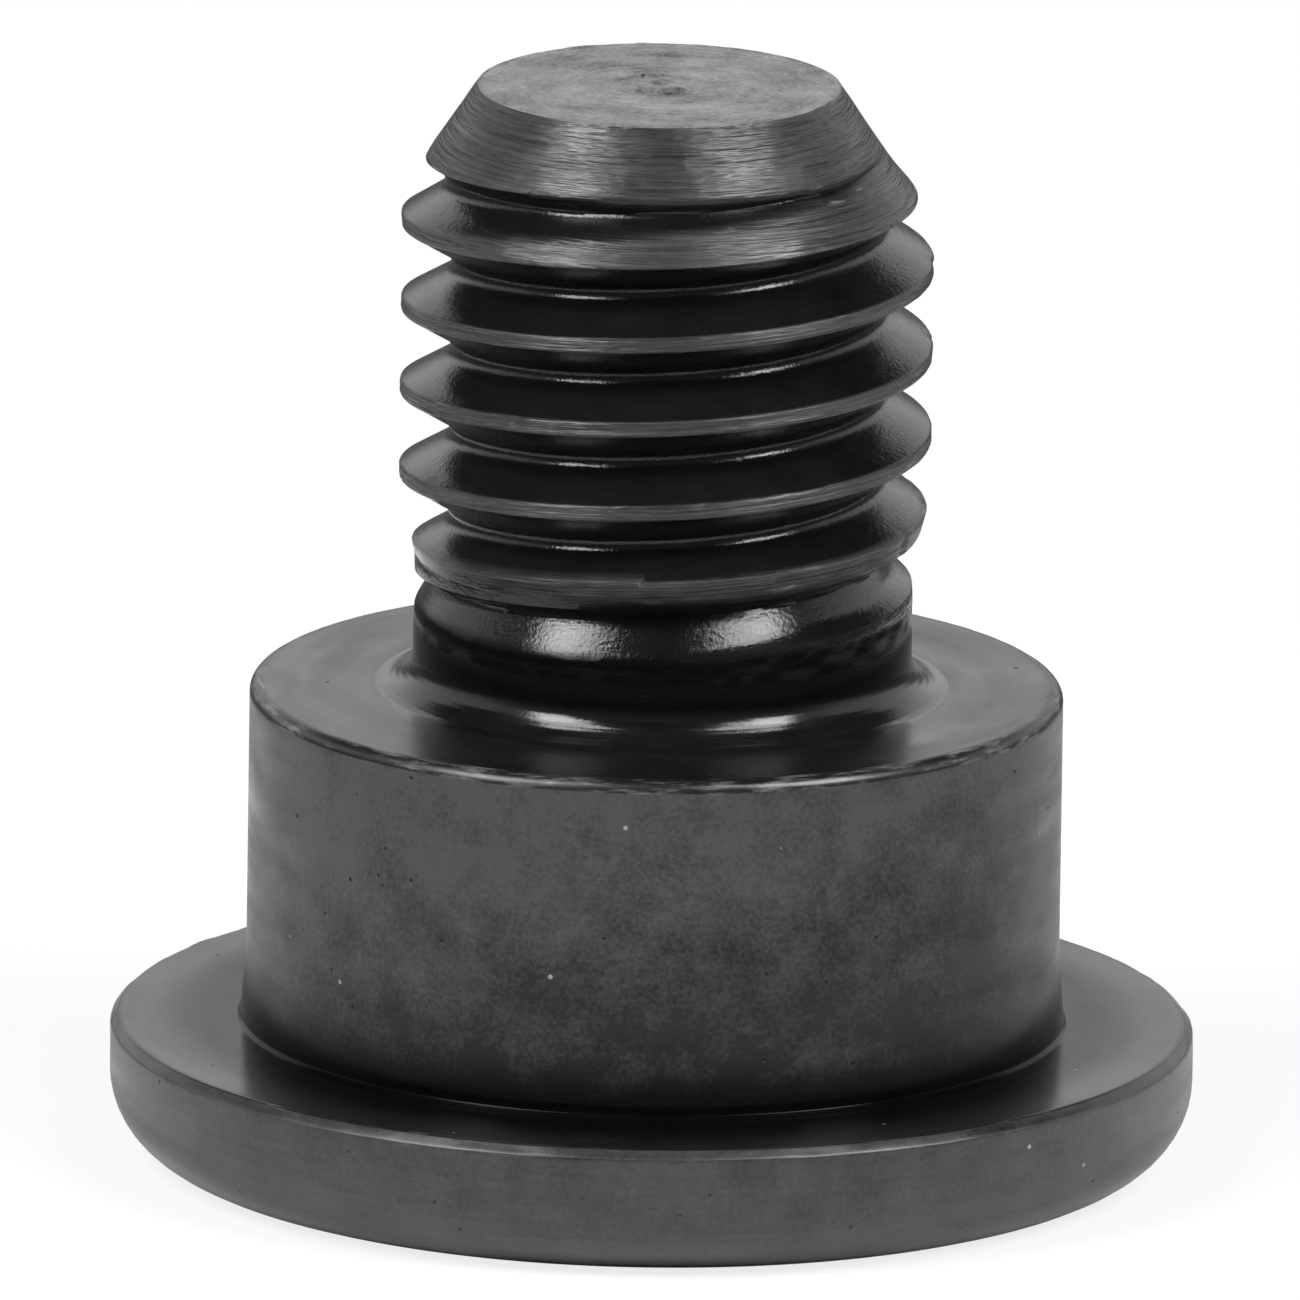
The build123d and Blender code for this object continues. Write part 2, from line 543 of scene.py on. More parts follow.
        outer = (1 - smooth_step(t.gap(turn, height) / reach, 0.0, 1.0)) * np.maximum(proud, height > t.full_crest)
        face = np.full(radius.shape, Face.THREAD.value)
        rings = Rings()
        # Painted shade on the neck's part of the thread grid, fading out above the neck.
        neck = 1 - smooth_step(height, *self.painted_shade_neck_top)
        rings.add(radius, height, edge, face, level * 1.6, climb=len(cycle), outer=outer, corner=neck)
        return rings

    def _snap(self, height: np.ndarray, turn: np.ndarray) -> np.ndarray:
        """Move the ring nearer to each crossing of blank and groove onto it, by a straight line between two rings.

        Args:
            height: ring heights.
            turn: ring turns.

        Returns:
            The heights with the corners met.
        """
        t = self.thread
        gap = t.gap(turn, height)
        below, above = gap[:-1], gap[1:]
        crosses = (below * above < 0) & (height[1:] - height[:-1] > 1e-6)
        share = np.where(crosses, below / np.where(crosses, below - above, 1.0), 0.0)
        meet = height[:-1] + share * (height[1:] - height[:-1])
        out = height.copy()
        rows, columns = np.nonzero(crosses & (share < 0.5))
        out[rows, columns] = meet[rows, columns]
        rows, columns = np.nonzero(crosses & (share >= 0.5))
        out[rows + 1, columns] = meet[rows, columns]
        return out

    def tip_rings(self) -> Rings:
        """The faced tip: a burred edge, spiral facing marks, and a small pip with a dimple left in the middle.

        The marks are a wave in radius that moves out by one spacing a turn. The pip is a smooth bump with a low ring
        round it, less a narrow dip for its dimple and a groove between pip and ring.

        Returns:
            Rings from the tip's edge in to its middle.
        """
        t = self.thread
        radius = np.concatenate(([0.03, 0.07, 0.12], np.linspace(0.18, t.tip_radius - 0.12, 46)))
        radius = np.concatenate((radius, [t.tip_radius - 0.07, t.tip_radius - 0.03]))[::-1]
        turn = np.broadcast_to(self.turn, (len(radius), COLUMNS))
        radius = np.broadcast_to(radius[:, None], turn.shape).copy()
        spiral = np.sin(TAU * (radius / self.facing_spacing - turn))
        fine = self.wander.field(turn, radius, 9, 9.0)
        height = t.tip_face + self.facing_depth * spiral + self.tip_ripple * fine
        pip = self.pip_height * (1 - smooth_step(radius, 0.3, 0.52)) + 0.014 * np.exp(-(((radius - 0.95) / 0.1) ** 2))
        dimple = 0.05 * np.exp(-((radius / 0.13) ** 2)) + 0.03 * np.exp(-(((radius - 0.62) / 0.08) ** 2))
        height = height + pip - dimple
        gouge = smooth_step(self.wander.field(turn, radius, 13, 2.2), 0.55, 0.95)
        height = height - self.gouge_depth * gouge
        rim = smooth_step(radius, t.tip_radius - 0.2, t.tip_radius)
        height = height + rim * self.burr_height * self.wander.field(turn, radius * 0, 75, 1.0)
        edge = smooth_step(radius, t.tip_radius - 0.06, t.tip_radius)
        rings = Rings()
        rings.add(radius, height, edge, np.full(radius.shape, Face.TIP_FACE.value), 20.0 - radius[:, 0])
        return rings

    def _lean(self, radius: np.ndarray, height: np.ndarray) -> np.ndarray:
        """Offset along X, in millimetres, of the threaded shank and its tip, which stand out of true."""
        t = self.thread
        on_shank = smooth_step(height, t.shoulder_face - 0.01, t.shoulder_face + 0.3)
        on_face = smooth_step(radius, 5.5, t.neck_radius + self.neck_round) * (height > t.shoulder_face - 0.2)
        to_tip = smooth_step(height, 13.8, 15.0)
        return t.lean * np.maximum(on_shank, on_face) * (1 - to_tip) + t.tip_lean * to_tip

    def build(self) -> bpy.types.Object:
        """Join all rings into one closed mesh with an edge weight, a place and a finish for each face.

        Returns:
            The bolt's object, with its place in its mesh.
        """
        rings = Rings()
        for part in (self.socket_rings(), self.body_rings(), self.thread_rings(), self.tip_rings()):
            rings.join(part)
        grid = rings.stacked()
        radius, height, count = grid["radius"], grid["height"], len(grid["radius"])
        angle = TAU * self.turn[None, :]
        points = np.stack((radius * np.cos(angle), radius * np.sin(angle), height), axis=-1)
        points[..., 0] += self._lean(radius, height)
        shut = np.linalg.norm(np.diff(points, axis=0), axis=-1) < 1e-6
        row = np.arange(count)[:, None] * np.ones(COLUMNS, int)
        row[1:][shut] = 0
        row = np.maximum.accumulate(row, axis=0)
        left = row * COLUMNS + np.arange(COLUMNS)
        right = np.roll(left, -1, axis=1)
        right[:, -1] = left[grid["meets"], 0]
        quads = np.stack((left[:-1], right[:-1], right[1:], left[1:]), axis=-1).reshape(-1, 4)
        bands = grid["face"][:-1].reshape(-1)
        lows = np.broadcast_to(grid["place"][:-1, None], shut.shape).reshape(-1)
        highs = np.broadcast_to(grid["place"][1:, None], shut.shape).reshape(-1)
        places = np.stack((lows, lows, highs, highs), axis=-1)
        cone = (bands == Face.THREAD.value) & (height[:-1].reshape(-1) > self.cone_faces_from)
        places[cone] = height.reshape(-1)[quads[cone]] * self.cone_place_scale

        left_shut, right_shut = quads[:, 0] == quads[:, 3], quads[:, 1] == quads[:, 2]
        corners, sizes, finish, place = [], [], [], []
        for chosen, kept in (
            (~left_shut & ~right_shut, [0, 1, 2, 3]),
            (left_shut & ~right_shut, [0, 1, 2]),
            (right_shut & ~left_shut, [0, 1, 3]),
        ):
            corners.append(quads[chosen][:, kept].ravel())
            place.append(places[chosen][:, kept].ravel())
            sizes.append(np.full(int(chosen.sum()), len(kept)))
            finish.append(bands[chosen])
        poles = count * COLUMNS + np.arange(2)
        for fan, face, ring in (
            (np.stack((right[0], left[0], np.full(COLUMNS, poles[0])), axis=-1), Face.SOCKET, 0),
            (np.stack((left[-1], right[-1], np.full(COLUMNS, poles[1])), axis=-1), Face.TIP_FACE, -1),
        ):
            corners.append(fan.ravel())
            place.append(np.full(fan.size, grid["place"][ring]))
            sizes.append(np.full(COLUMNS, 3))
            finish.append(np.full(COLUMNS, face.value))
        ends = np.array([[0.0, 0.0, height[0].mean()], [0.0, 0.0, height[-1].mean()]])
        vertices = np.concatenate((points.reshape(-1, 3), ends)) * MM
        shares = {name: np.concatenate((grid[name].reshape(-1), [0.0, 0.0])) for name in ("edge", "outer", "corner")}
        used, compact = np.unique(np.concatenate(corners), return_inverse=True)
        sides = np.split(compact.reshape(-1), np.cumsum(np.concatenate(sizes))[:-1])

        mesh = bpy.data.meshes.new("bolt_skin")
        mesh.from_pydata(vertices[used].tolist(), [], [side.tolist() for side in sides])
        for name, values in shares.items():
            self._attribute(mesh, name, "POINT", values[used])
        self._attribute(mesh, "place", "CORNER", np.concatenate(place))
        mesh.polygons.foreach_set("material_index", np.concatenate(finish).astype(np.int32))
        mesh.shade_smooth()
        mesh.set_sharp_from_angle(angle=math.radians(42.0))
        mesh.validate()
        bolt = bpy.data.objects.new("bolt_skin", mesh)
        bpy.context.scene.collection.objects.link(bolt)
        triangles = len(mesh.loops) - 2 * len(mesh.polygons)
        log.info("bolt skin: %d points, %d triangles", len(mesh.vertices), triangles)
        return bolt

    @staticmethod
    def _attribute(mesh: bpy.types.Mesh, name: str, domain: str, values: np.ndarray) -> None:
        """Store numbers on a mesh's points or face corners for its finishes to read."""
        attribute = mesh.attributes.new(name, "FLOAT", domain)
        attribute.data.foreach_set("value", values.astype(np.float32))


class NodeSheet:
    """A short way to place and join shader nodes in a material or a group."""

    def __init__(self, tree: bpy.types.NodeTree) -> None:
        """Take the tree to draw in."""
        self.tree = tree

    def add(self, kind: str, values: Optional[Dict[object, object]] = None, **settings: object) -> bpy.types.Node:
        """Add a node.

        Args:
            kind: the node's type name.
            values: numbers, colours or sockets for its inputs, by name or by index.
            settings: the node's own properties.

        Returns:
            The node.
        """
        node = self.tree.nodes.new(kind)
        for name, value in settings.items():
            setattr(node, name, value)
        for key, value in (values or {}).items():
            socket = node.inputs[key]
            if isinstance(value, bpy.types.NodeSocket):
                self.tree.links.new(value, socket)
            else:
                socket.default_value = value
        return node

    def group(self, tree: bpy.types.NodeTree, values: Dict[str, float]) -> bpy.types.Node:
        """Add a node that uses a shared group, with numbers for its inputs."""
        node = self.add("ShaderNodeGroup", node_tree=tree)
        for name, value in values.items():
            node.inputs[name].default_value = value
        return node

    def blend(self, share: bpy.types.NodeSocket, low: object, high: object) -> bpy.types.NodeSocket:
        """Add a colour Mix node, from low at 0 to high at 1, each a socket or a colour, and return its colour."""
        low, high = (c if isinstance(c, bpy.types.NodeSocket) else (*c, 1.0) for c in (low, high))
        return self.add("ShaderNodeMix", {0: share, 6: low, 7: high}, data_type="RGBA").outputs[2]

    def math(self, operation: str, first: object, second: object = 0.0, third: object = 0.0) -> bpy.types.NodeSocket:
        """Add a Math node on numbers or sockets and return its value."""
        return self.add("ShaderNodeMath", {0: first, 1: second, 2: third}, operation=operation).outputs[0]

    def smooth(self, value: object, low: object, high: object) -> bpy.types.NodeSocket:
        """Add a Map Range node that rises smoothly from 0 at low to 1 at high, and return its value."""
        node = self.add(
            "ShaderNodeMapRange", {"Value": value, "From Min": low, "From Max": high}, interpolation_type="SMOOTHSTEP"
        )
        return node.outputs["Result"]


class Effects:
    """The node groups that the finishes share: turning lines, oxide mottle, a painted shade by height, edge wear and
    specks.
    """

    def __init__(self) -> None:
        """Build each group once."""
        self.turning = self._turning_lines()
        self.mottle = self._oxide_mottle()
        self.wear = self._edge_wear()
        self.specks = self._specks()
        # fade: the painted shade's height gradient.
        self.fade = self._painted_shade_gradient()

    @staticmethod
    def _group(
        name: str, inputs: Dict[str, float], outputs: Sequence[str]
    ) -> Tuple[bpy.types.NodeTree, NodeSheet, bpy.types.Node]:
        """Start a group with named number inputs and outputs: its tree, a sheet to draw in, and its input node."""
        tree = bpy.data.node_groups.new(name, "ShaderNodeTree")
        for label, default in inputs.items():
            socket = tree.interface.new_socket(label, in_out="INPUT", socket_type="NodeSocketFloat")
            socket.default_value = default
        for label in outputs:
            tree.interface.new_socket(label, in_out="OUTPUT", socket_type="NodeSocketFloat")
        sheet = NodeSheet(tree)
        return tree, sheet, sheet.add("NodeGroupInput")

    @staticmethod
    def _round_axis(sheet: NodeSheet, round_scale: object, along_scale: object) -> bpy.types.NodeSocket:
        """A point that circles with the turn and moves with the profile's length, so noise on it joins up."""
        place = sheet.add("ShaderNodeTexCoord").outputs["Object"]
        flat = sheet.add("ShaderNodeVectorMath", {0: place, 1: (1.0, 1.0, 0.0)}, operation="MULTIPLY").outputs[0]
        unit = sheet.add("ShaderNodeVectorMath", {0: flat}, operation="NORMALIZE").outputs[0]
        circle = sheet.add("ShaderNodeVectorMath", {0: unit, "Scale": round_scale}, operation="SCALE").outputs[0]
        along = sheet.add("ShaderNodeAttribute", attribute_name="place").outputs["Fac"]
        run = sheet.math("MULTIPLY", along, along_scale)
        lift = sheet.add("ShaderNodeCombineXYZ", {"Z": run}).outputs[0]
        return sheet.add("ShaderNodeVectorMath", {0: circle, 1: lift}, operation="ADD").outputs[0]

    def _turning_lines(self) -> bpy.types.NodeTree:
        """Lines that run round the bolt, in two widths, broken up along their length."""
        tree, sheet, given = self._group("Turning lines", {"Lines per mm": 12.0, "Breaks": 2.0}, ["Height", "Band"])
        broad = self._round_axis(sheet, given.outputs["Breaks"], given.outputs["Lines per mm"])
        lines = sheet.add("ShaderNodeTexNoise", {"Vector": broad, "Scale": 1.0, "Detail": 3.0, "Roughness": 0.65})
        double = sheet.math("MULTIPLY", given.outputs["Lines per mm"], 0.22)
        wide = self._round_axis(sheet, given.outputs["Breaks"], double)
        band = sheet.add("ShaderNodeTexNoise", {"Vector": wide, "Scale": 1.0, "Detail": 2.0, "Roughness": 0.5})
        outs = sheet.add("NodeGroupOutput")
        sheet.tree.links.new(lines.outputs["Fac"], outs.inputs["Height"])
        sheet.tree.links.new(band.outputs["Fac"], outs.inputs["Band"])
        return tree

    def _oxide_mottle(self) -> bpy.types.NodeTree:
        """Cloudy patches and a fine grain in the oxide."""
        inputs = {"Patches per mm": 1.2, "Grain per mm": 14.0}
        tree, sheet, given = self._group("Oxide mottle", inputs, ["Cloud", "Grain"])
        place = sheet.add("ShaderNodeTexCoord").outputs["Object"]
        outs = sheet.add("NodeGroupOutput")
        for name, label, detail in (("Patches per mm", "Cloud", 5.0), ("Grain per mm", "Grain", 3.0)):
            scale = sheet.math("MULTIPLY", given.outputs[name], 1000.0)
            values = {"Vector": place, "Scale": scale, "Detail": detail, "Roughness": 0.6}
            noise = sheet.add("ShaderNodeTexNoise", values)
            sheet.tree.links.new(noise.outputs["Fac"], outs.inputs[label])
        return tree

    def _painted_shade_gradient(self) -> bpy.types.NodeTree:
        """Painted shade: a share that rises from 0 to 1 between two heights and falls towards +X, with a wandering
        border.
        """
        tree, sheet, given = self._group("Height fade", {"From": 0.0, "To": 1.0}, ["Share"])
        place = sheet.add("ShaderNodeTexCoord").outputs["Object"]
        noise = sheet.add("ShaderNodeTexNoise", {"Vector": place, "Scale": 300.0, "Detail": 3.0}).outputs["Fac"]
        axes = sheet.add("ShaderNodeSeparateXYZ", {0: place}).outputs
        height = sheet.math("MULTIPLY", axes["Z"], 1000.0)
        height = sheet.math("MULTIPLY_ADD", sheet.math("SUBTRACT", noise, 0.5), 2.0, height)
        height = sheet.math("MULTIPLY_ADD", axes["X"], -180.0, height)
        node = sheet.add(
            "ShaderNodeMapRange",
            {"Value": height, "From Min": given.outputs["From"], "From Max": given.outputs["To"]},
            interpolation_type="SMOOTHSTEP",
        )
        outs = sheet.add("NodeGroupOutput")
        sheet.tree.links.new(node.outputs["Result"], outs.inputs["Share"])
        return tree

    def _edge_wear(self) -> bpy.types.NodeTree:
        """A mask that is broken along the form's corners, where the oxide has rubbed through."""
        tree, sheet, given = self._group("Edge wear", {"Amount": 0.5}, ["Mask"])
        edge = sheet.add("ShaderNodeAttribute", attribute_name="edge").outputs["Fac"]
        place = self._round_axis(sheet, 8.0, 9.0)
        noise = sheet.add("ShaderNodeTexNoise", {"Vector": place, "Scale": 1.0, "Detail": 4.0, "Roughness": 0.7})
        limit = sheet.math("SUBTRACT", 0.82, sheet.math("MULTIPLY", given.outputs["Amount"], 0.5))
        top = sheet.math("ADD", limit, 0.25)
        broken = sheet.smooth(noise.outputs["Fac"], limit, top)
        mask = sheet.math("MULTIPLY", broken, sheet.smooth(edge, 0.2, 0.9))
        outs = sheet.add("NodeGroupOutput")
        sheet.tree.links.new(mask, outs.inputs["Mask"])
        return tree

    def _specks(self) -> bpy.types.NodeTree:
        """Masks of a few pale dust specks and of small dark pits, each a dot round some of the points of a lattice."""
        tree, sheet, given = self._group("Specks", {"Dust": 0.03, "Pits": 0.1}, ["Dust", "Pits"])
        place = sheet.add("ShaderNodeTexCoord").outputs["Object"]
        outs = sheet.add("NodeGroupOutput")
        for name, scale, size in (("Dust", 1300.0, 0.055), ("Pits", 2500.0, 0.1)):
            cells = sheet.add("ShaderNodeTexVoronoi", {"Vector": place, "Scale": scale}, feature="F1")
            chance = sheet.add("ShaderNodeSeparateColor", {0: cells.outputs["Color"]}).outputs[0]
            chosen = sheet.math("LESS_THAN", chance, given.outputs[name])
            dot = sheet.math("SUBTRACT", 1.0, sheet.smooth(cells.outputs["Distance"], size * 0.6, size))
            sheet.tree.links.new(sheet.math("MULTIPLY", chosen, dot), outs.inputs[name])
        return tree


DUST_COLOUR: Colour = (0.22, 0.22, 0.21)
PIT_COLOUR: Colour = (0.001, 0.001, 0.001)
PIT_DEPTH = 0.008
STREAK_GAIN = 2.5
GRAIN_GAIN = 0.75
BAND_GAIN = 3.0
EDGE_ROUGHNESS = 0.06
DUST_ROUGHNESS = 0.5
PIT_ROUGHNESS = 0.35
WORN_METAL = 0.25


@dataclass(frozen=True)
class Finish:
    """One finish of black oxide steel, from how it was cut and how far it is worn."""

    name: str
    dark: float = 0.002
    pale: float = 0.008
    roughness: float = 0.16
    roughness_spread: float = 0.06
    ior: float = 1.5
    lines_per_mm: float = 14.0
    line_breaks: float = 2.0
    line_depth: float = 0.001
    line_tone: float = 0.3
    cloud_tone: float = 0.8
    # Painted shade: darkens the finish towards the bottom and to the right, between the two heights, by the tone
    # given.
    painted_shade_from: float = 0.0
    painted_shade_to: float = 1.0
    painted_shade_tone: float = 0.0
    grain_depth: float = 0.0006
    wear: float = 0.3
    dust: float = 0.02
    pits: float = 0.03
    worn_tone: float = 0.13

    def dress(self, effects: Effects, over: Dict[str, "Finish"]) -> bpy.types.Material:
        """Make the material, with other finishes over it by the shares that the mesh carries.

        Args:
            effects: the shared node groups.
            over: each share's name and the finish that it brings in.

        Returns:
            The material.
        """
        material = bpy.data.materials.new(self.name)
        material.use_nodes = True
        material.node_tree.nodes.clear()
        sheet = NodeSheet(material.node_tree)
        skin = self._skin(sheet, effects)
        for name, finish in over.items():
            share = sheet.add("ShaderNodeAttribute", attribute_name=name).outputs["Fac"]
            skin = sheet.add("ShaderNodeMixShader", {0: share, 1: skin, 2: finish._skin(sheet, effects)}).outputs[0]
        sheet.add("ShaderNodeOutputMaterial", {"Surface": skin})
        return material

    def _skin(self, sheet: NodeSheet, effects: Effects) -> bpy.types.NodeSocket:
        """Draw the shader: tone from clouds, lines and a painted shade by height, then wear, pits and dust over it.

        Args:
            sheet: where to draw.
            effects: the shared node groups.

        Returns:
            The shader's output.
        """
        lines = sheet.group(effects.turning, {"Lines per mm": self.lines_per_mm, "Breaks": self.line_breaks})
        mottle = sheet.group(effects.mottle, {})
        wear = sheet.group(effects.wear, {"Amount": self.wear})
        specks = sheet.group(effects.specks, {"Dust": self.dust, "Pits": self.pits})
        # fade: the painted shade's height gradient.
        fade = sheet.group(effects.fade, {"From": self.painted_shade_from, "To": self.painted_shade_to})

        tone = sheet.math("MULTIPLY_ADD", mottle.outputs["Cloud"], self.cloud_tone, 0.5 - 0.5 * self.cloud_tone)
        streak = sheet.math("SUBTRACT", lines.outputs["Height"], 0.5)
        grain = sheet.math("SUBTRACT", mottle.outputs["Grain"], 0.5)
        rise = sheet.math("SUBTRACT", fade.outputs["Share"], 0.5)
        tone = sheet.math("MULTIPLY_ADD", streak, STREAK_GAIN * self.line_tone, tone)
        tone = sheet.math("MULTIPLY_ADD", grain, GRAIN_GAIN * self.cloud_tone, tone)
        # Painted shade: lowers the tone towards the bottom and to the right.
        tone = sheet.math("MULTIPLY_ADD", rise, self.painted_shade_tone, tone)
        tone = sheet.add("ShaderNodeClamp", {"Value": tone}).outputs[0]
        shade = sheet.blend(tone, (self.dark,) * 3, (self.pale,) * 3)
        shade = sheet.blend(wear.outputs["Mask"], shade, (self.worn_tone,) * 3)
        shade = sheet.blend(specks.outputs["Pits"], shade, PIT_COLOUR)
        shade = sheet.blend(specks.outputs["Dust"], shade, DUST_COLOUR)

        swing = sheet.math("SUBTRACT", lines.outputs["Band"], 0.5)
        edge = sheet.add("ShaderNodeAttribute", attribute_name="edge").outputs["Fac"]
        rough = sheet.math("MULTIPLY_ADD", swing, BAND_GAIN * self.roughness_spread, self.roughness)
        for share, amount in (
            (mottle.outputs["Cloud"], self.roughness_spread),
            (edge, EDGE_ROUGHNESS),
            (specks.outputs["Dust"], DUST_ROUGHNESS),
            (specks.outputs["Pits"], PIT_ROUGHNESS),
        ):
            rough = sheet.math("MULTIPLY_ADD", share, amount, rough)
        metal = sheet.math("MULTIPLY", wear.outputs["Mask"], WORN_METAL)

        height = sheet.math("MULTIPLY", lines.outputs["Height"], self.line_depth)
        height = sheet.math("MULTIPLY_ADD", mottle.outputs["Grain"], self.grain_depth, height)
        height = sheet.math("MULTIPLY_ADD", specks.outputs["Pits"], -PIT_DEPTH, height)
        bump = sheet.add("ShaderNodeBump", {"Height": height, "Strength": 1.0, "Distance": MM})
        skin = sheet.add(
            "ShaderNodeBsdfPrincipled",
            {"Base Color": shade, "Roughness": rough, "Metallic": metal, "Normal": bump.outputs[0], "IOR": self.ior},
        )
        return skin.outputs[0]


CREST_FINISH = Finish(
    "crest_oxide", dark=0.002, pale=0.03, roughness=0.3, roughness_spread=0.12, ior=1.56, lines_per_mm=13.0,
    line_breaks=1.8, line_depth=0.038, line_tone=1.0, grain_depth=0.002, wear=0.6,
)
# Painted shade: a near-black, weakly reflecting finish laid over the inner corners where shade and dark reflections
# fall.
PAINTED_SHADE_FINISH = Finish(
    "corner_oxide", dark=0.001, pale=0.003, roughness=0.14, roughness_spread=0.06, ior=1.16, lines_per_mm=9.0,
    line_breaks=3.0, line_depth=0.0012, grain_depth=0.0012, wear=0.0, dust=0.03, pits=0.0,
)
# outer lays the crest's own finish; corner lays the painted shade in the inner corners.
OVER: Dict[Face, Dict[str, Finish]] = {
    Face.THREAD: {"outer": CREST_FINISH, "corner": PAINTED_SHADE_FINISH},
    Face.NECK: {"corner": PAINTED_SHADE_FINISH},
    Face.SEAT: {"corner": PAINTED_SHADE_FINISH},
    Face.SHOULDER: {"corner": PAINTED_SHADE_FINISH},
}

FINISHES: Dict[Face, Finish] = {
    Face.SOCKET: Finish("socket_oxide", roughness=0.3, lines_per_mm=5.0, line_depth=0.0015, wear=0.2),
    Face.CROWN: Finish(
        "crown_oxide", pale=0.022, roughness=0.26, ior=1.52, lines_per_mm=9.0, line_depth=0.0016, cloud_tone=1.6,
        grain_depth=0.0016, wear=0.2, dust=0.3, pits=0.3,
    ),
    Face.HEAD_SIDE: Finish(
        "head_oxide", pale=0.028, roughness=0.28, roughness_spread=0.1, ior=1.53, lines_per_mm=10.0,
        line_depth=0.0018, line_tone=0.3, cloud_tone=1.6, grain_depth=0.0022, wear=0.55, dust=0.4, pits=0.3,
    ),
    Face.SEAT: Finish(
        "seat_oxide", pale=0.012, roughness=0.2, lines_per_mm=10.0, line_depth=0.0005, wear=0.5, dust=0.4, pits=0.1,
    ),
    # Painted shade: the shoulder's side is darkened towards the bottom and the right by the height gradient.
    Face.SHOULDER: Finish(
        "shoulder_oxide", dark=0.001, pale=0.04, roughness=0.32, roughness_spread=0.12, ior=1.42, lines_per_mm=9.0,
        line_breaks=3.0, line_depth=0.0014, line_tone=0.15, cloud_tone=1.9, painted_shade_from=2.6, painted_shade_to=6.9, painted_shade_tone=0.9,
        grain_depth=0.0022, wear=0.55, dust=0.5, pits=0.35,
    ),
    Face.SHOULDER_FACE: Finish(
        "shoulder_face_oxide", roughness=0.24, roughness_spread=0.08, ior=1.5, lines_per_mm=8.0, line_depth=0.0005,
        grain_depth=0.0014, wear=0.7, dust=0.3, pits=0.2,
    ),
    Face.NECK: Finish(
        "neck_oxide", roughness=0.12, ior=1.4, lines_per_mm=6.0, line_depth=0.001, grain_depth=0.002, wear=0.0,
    ),
    Face.THREAD: Finish(
        "groove_oxide", roughness=0.13, ior=1.42, lines_per_mm=12.0, line_breaks=9.0, line_depth=0.004,
        grain_depth=0.006, wear=0.0,
    ),
    # Part oxide tone, part painted sheen: the pale tone is raised to stand in for the backdrop's reflection on the
    # faced tip.
    Face.TIP_FACE: Finish(
        "tip_face_oxide", dark=0.012, pale=0.2, roughness=0.36, roughness_spread=0.1, ior=1.6, lines_per_mm=4.5,
        line_breaks=2.0, line_depth=0.0022, line_tone=0.25, cloud_tone=1.9, grain_depth=0.008, wear=0.5, pits=0.2,
    ),
}


@dataclass(frozen=True)
class Softbox:
    """A square studio lamp, placed by its direction from the bolt, with sizes in metres and power in watts."""

    name: str
    azimuth: float
    elevation: float
    distance: float
    width: float
    height: float
    power: float

    def hang(self, target: Vector) -> bpy.types.Object:
        """Make the lamp and turn it to the target, a point in metres."""
        data = bpy.data.lights.new(self.name, "AREA")
        data.shape = "RECTANGLE"
        data.size, data.size_y, data.energy = self.width, self.height, self.power
        a, e = math.radians(self.azimuth), math.radians(self.elevation)
        away = Vector((math.sin(a) * math.cos(e), -math.cos(a) * math.cos(e), math.sin(e)))
        lamp = bpy.data.objects.new(self.name, data)
        lamp.location = target + away * self.distance
        lamp.rotation_euler = away.to_track_quat("Z", "Y").to_euler()
        bpy.context.scene.collection.objects.link(lamp)
        return lamp


